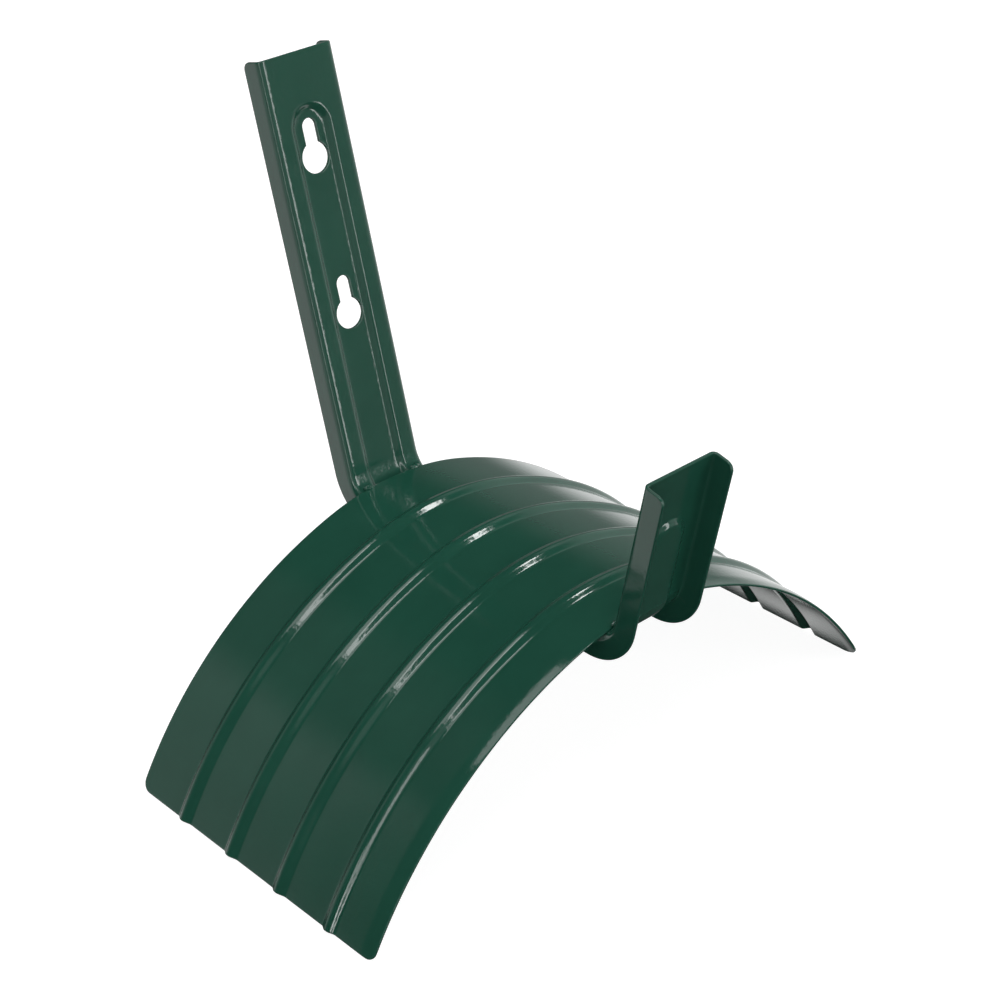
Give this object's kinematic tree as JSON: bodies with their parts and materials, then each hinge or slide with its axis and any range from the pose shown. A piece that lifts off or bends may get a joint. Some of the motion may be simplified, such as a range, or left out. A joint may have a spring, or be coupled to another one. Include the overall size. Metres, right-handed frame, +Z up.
{
  "type": "wall hose hanger",
  "caption": "Wall hanger for a garden hose: a channel bracket with keyholes and an upturned lip carries an arched, ribbed sheet-steel saddle that the hose is coiled over.",
  "frame": {"origin": "on the wall plane, in the middle of the hanger's width, midway between the round holes of the two keyholes", "axes": "+Y into the wall, square to it; +Z up along the upright; +X along the wall, to the right of a person facing the hanger"},
  "size_m": [0.2418, 0.1758, 0.2583],
  "materials": {
    "green_enamel": "gloss"
  },
  "bodies": {
    "root": {"bracket": "green_enamel", "saddle": "green_enamel", "weld_beads": "green_enamel"}
  },
  "joints": []
}
